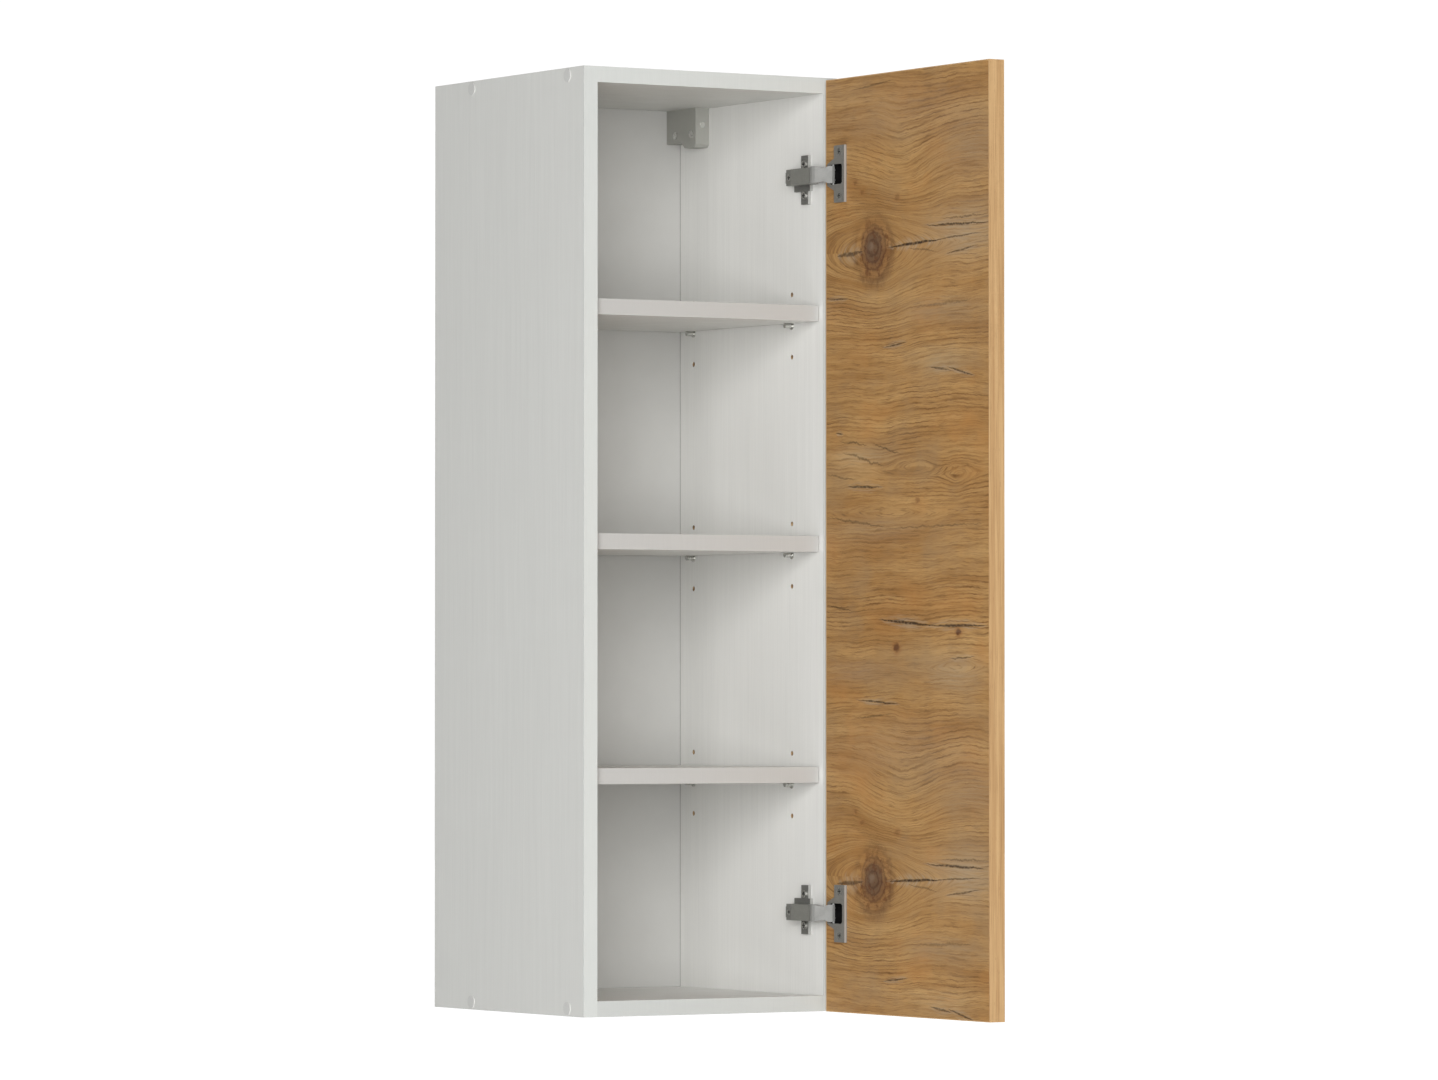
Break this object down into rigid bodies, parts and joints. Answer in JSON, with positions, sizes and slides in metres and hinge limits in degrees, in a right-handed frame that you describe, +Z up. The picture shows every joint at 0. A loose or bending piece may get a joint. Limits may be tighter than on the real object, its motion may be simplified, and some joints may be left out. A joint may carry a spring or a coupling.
{
  "type": "wall cabinet",
  "caption": "Tall narrow hanging wall cabinet: white board carcass, loose shelves on pins and one wood-look door on concealed hinges, with adjustable hangers.",
  "frame": {"origin": "middle of the rear bottom edge, in the plane of the wall", "axes": "+Z up along the cabinet's height, +Y towards the wall, +X to the right seen from the front, where the door is hinged"},
  "size_m": [0.3022, 0.6027, 0.95],
  "materials": {
    "beech": "raw",
    "cap_plastic": "matte",
    "hanger_plastic": "matte",
    "hinge_cover": "satin",
    "hinge_link": "satin",
    "hinge_steel": "satin",
    "oak_board": "matte",
    "oak_edge": "matte",
    "plated_steel": "polished",
    "white_board": "matte",
    "white_edge": "matte",
    "white_hardboard": "matte"
  },
  "bodies": {
    "carcass": {"back_panel": "white_hardboard", "bottom_edge_band": "white_edge", "bottom_panel": "white_board", "carcass_screws": "plated_steel", "hanger_screws": "plated_steel", "left_hanger_housing": "hanger_plastic", "left_side_edge_band": "white_edge", "left_side_panel": "white_board", "lower_hinge_adjusting_screws": "plated_steel", "lower_hinge_arm": "hinge_steel", "lower_hinge_arm_cover": "hinge_cover", "lower_hinge_arm_pins": "plated_steel", "lower_hinge_plate": "hinge_steel", "lower_hinge_plate_screws": "plated_steel", "right_hanger_housing": "hanger_plastic", "right_side_edge_band": "white_edge", "right_side_panel": "white_board", "screw_caps": "cap_plastic", "shelf_pins": "plated_steel", "top_edge_band": "white_edge", "top_panel": "white_board", "upper_hinge_adjusting_screws": "plated_steel", "upper_hinge_arm": "hinge_steel", "upper_hinge_arm_cover": "hinge_cover", "upper_hinge_arm_pins": "plated_steel", "upper_hinge_plate": "hinge_steel", "upper_hinge_plate_screws": "plated_steel", "wooden_dowels": "beech"},
    "hinge_outer_links": {"lower_hinge_outer_link": "hinge_link", "upper_hinge_outer_link": "hinge_link"},
    "door": {"door_bottom_edge_band": "oak_edge", "door_free_edge_band": "oak_edge", "door_hinged_edge_band": "oak_edge", "door_panel": "oak_board", "door_top_edge_band": "oak_edge", "lower_hinge_cup": "hinge_steel", "lower_hinge_cup_pin": "plated_steel", "lower_hinge_cup_screws": "plated_steel", "upper_hinge_cup": "hinge_steel", "upper_hinge_cup_pin": "plated_steel", "upper_hinge_cup_screws": "plated_steel"},
    "hinge_inner_links": {"lower_hinge_inner_link": "hinge_steel", "upper_hinge_inner_link": "hinge_steel"},
    "left_adjuster": {"left_hanger_adjuster": "plated_steel"},
    "left_hook": {"left_hanger_hook": "plated_steel"},
    "lower_shelf": {"lower_shelf": "white_board", "lower_shelf_edge_band": "white_edge"},
    "middle_shelf": {"middle_shelf": "white_board", "middle_shelf_edge_band": "white_edge"},
    "right_adjuster": {"right_hanger_adjuster": "plated_steel"},
    "right_hook": {"right_hanger_hook": "plated_steel"},
    "upper_shelf": {"upper_shelf": "white_board", "upper_shelf_edge_band": "white_edge"}
  },
  "joints": [
    {"name": "outer_link_swing", "type": "hinge", "parent": "carcass", "child": "hinge_outer_links", "pos_m": [0.1205, -0.304, 0.475], "axis": [0, 0, 1], "range_deg": [-5.03, 29.95]},
    {"name": "door_swing", "type": "hinge", "parent": "hinge_outer_links", "child": "door", "pos_m": [0.13654, -0.31454, 0.475], "axis": [0, 0, 1], "range_deg": [-119.9, 19.98]},
    {"name": "inner_link_swing", "type": "hinge", "parent": "carcass", "child": "hinge_inner_links", "pos_m": [0.125, -0.2945, 0.475], "axis": [0, 0, 1], "range_deg": [-2.55, 15.05]},
    {"name": "lower_shelf_lift", "type": "slide", "parent": "carcass", "child": "lower_shelf", "axis": [0, 0, 1], "range_m": [0, 0.09]},
    {"name": "middle_shelf_lift", "type": "slide", "parent": "carcass", "child": "middle_shelf", "axis": [0, 0, 1], "range_m": [0, 0.09]},
    {"name": "upper_shelf_lift", "type": "slide", "parent": "carcass", "child": "upper_shelf", "axis": [0, 0, 1], "range_m": [0, 0.09]},
    {"name": "left_adjuster_turn", "type": "hinge", "parent": "carcass", "child": "left_adjuster", "pos_m": [-0.1257, -0.0787, 0.9165], "axis": [0, 1, 0], "range_deg": [-60.05, 60.05]},
    {"name": "left_hook_height", "type": "slide", "parent": "carcass", "child": "left_hook", "axis": [0, 0, 1], "range_m": [-0.004, 0.004]},
    {"name": "right_adjuster_turn", "type": "hinge", "parent": "carcass", "child": "right_adjuster", "pos_m": [0.1257, -0.0787, 0.9165], "axis": [0, 1, 0], "range_deg": [-60.05, 60.05]},
    {"name": "right_hook_height", "type": "slide", "parent": "carcass", "child": "right_hook", "axis": [0, 0, 1], "range_m": [-0.004, 0.004]}
  ],
  "couplings": [
    {"joint": "outer_link_swing", "follows": "door_swing", "ratio": -0.24937},
    {"joint": "inner_link_swing", "follows": "door_swing", "ratio": -0.1251},
    {"joint": "left_adjuster_turn", "follows": "left_hook_height", "rad_per_m": 261.8},
    {"joint": "right_adjuster_turn", "follows": "right_hook_height", "rad_per_m": 261.8}
  ]
}
